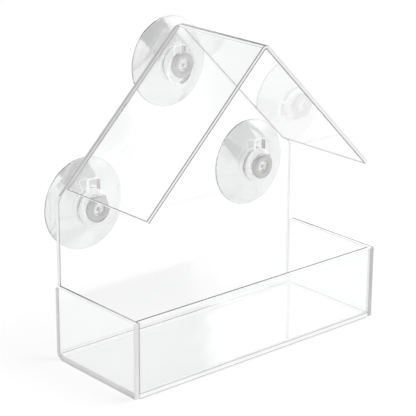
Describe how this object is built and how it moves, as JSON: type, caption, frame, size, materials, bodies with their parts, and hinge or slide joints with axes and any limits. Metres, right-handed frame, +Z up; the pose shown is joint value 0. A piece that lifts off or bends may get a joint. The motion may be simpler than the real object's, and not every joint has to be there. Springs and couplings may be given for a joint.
{
  "type": "window bird feeder",
  "caption": "Clear window bird feeder: an open seed tray under a gabled roof, held on a pane by suction cups in keyholes.",
  "frame": {"origin": "middle of the tray's flat underside", "axes": "+X to the right seen from the front, +Y towards the window pane, +Z up"},
  "size_m": [0.15, 0.0677, 0.1505],
  "materials": {
    "clear_acrylic": "polished clear sheet",
    "clear_acrylic_roof": "polished clear sheet",
    "clear_vinyl": "smooth clear soft vinyl"
  },
  "bodies": {
    "feeder": {"back_panel": "clear_acrylic", "roof": "clear_acrylic_roof", "tray_front": "clear_acrylic", "tray_side_left": "clear_acrylic", "tray_side_right": "clear_acrylic"},
    "suction_cup_left": {"suction_cup_left": "clear_vinyl"},
    "suction_cup_right": {"suction_cup_right": "clear_vinyl"},
    "suction_cup_top": {"suction_cup_top": "clear_vinyl"}
  },
  "joints": [
    {"name": "suction_cup_left_slide", "type": "slide", "parent": "feeder", "child": "suction_cup_left", "axis": [0, 0, 1], "range_m": [-0.0019, 0.0104]},
    {"name": "suction_cup_right_slide", "type": "slide", "parent": "feeder", "child": "suction_cup_right", "axis": [0, 0, 1], "range_m": [-0.0019, 0.0104]},
    {"name": "suction_cup_top_slide", "type": "slide", "parent": "feeder", "child": "suction_cup_top", "axis": [0, 0, 1], "range_m": [-0.0065, 0.0058]}
  ]
}
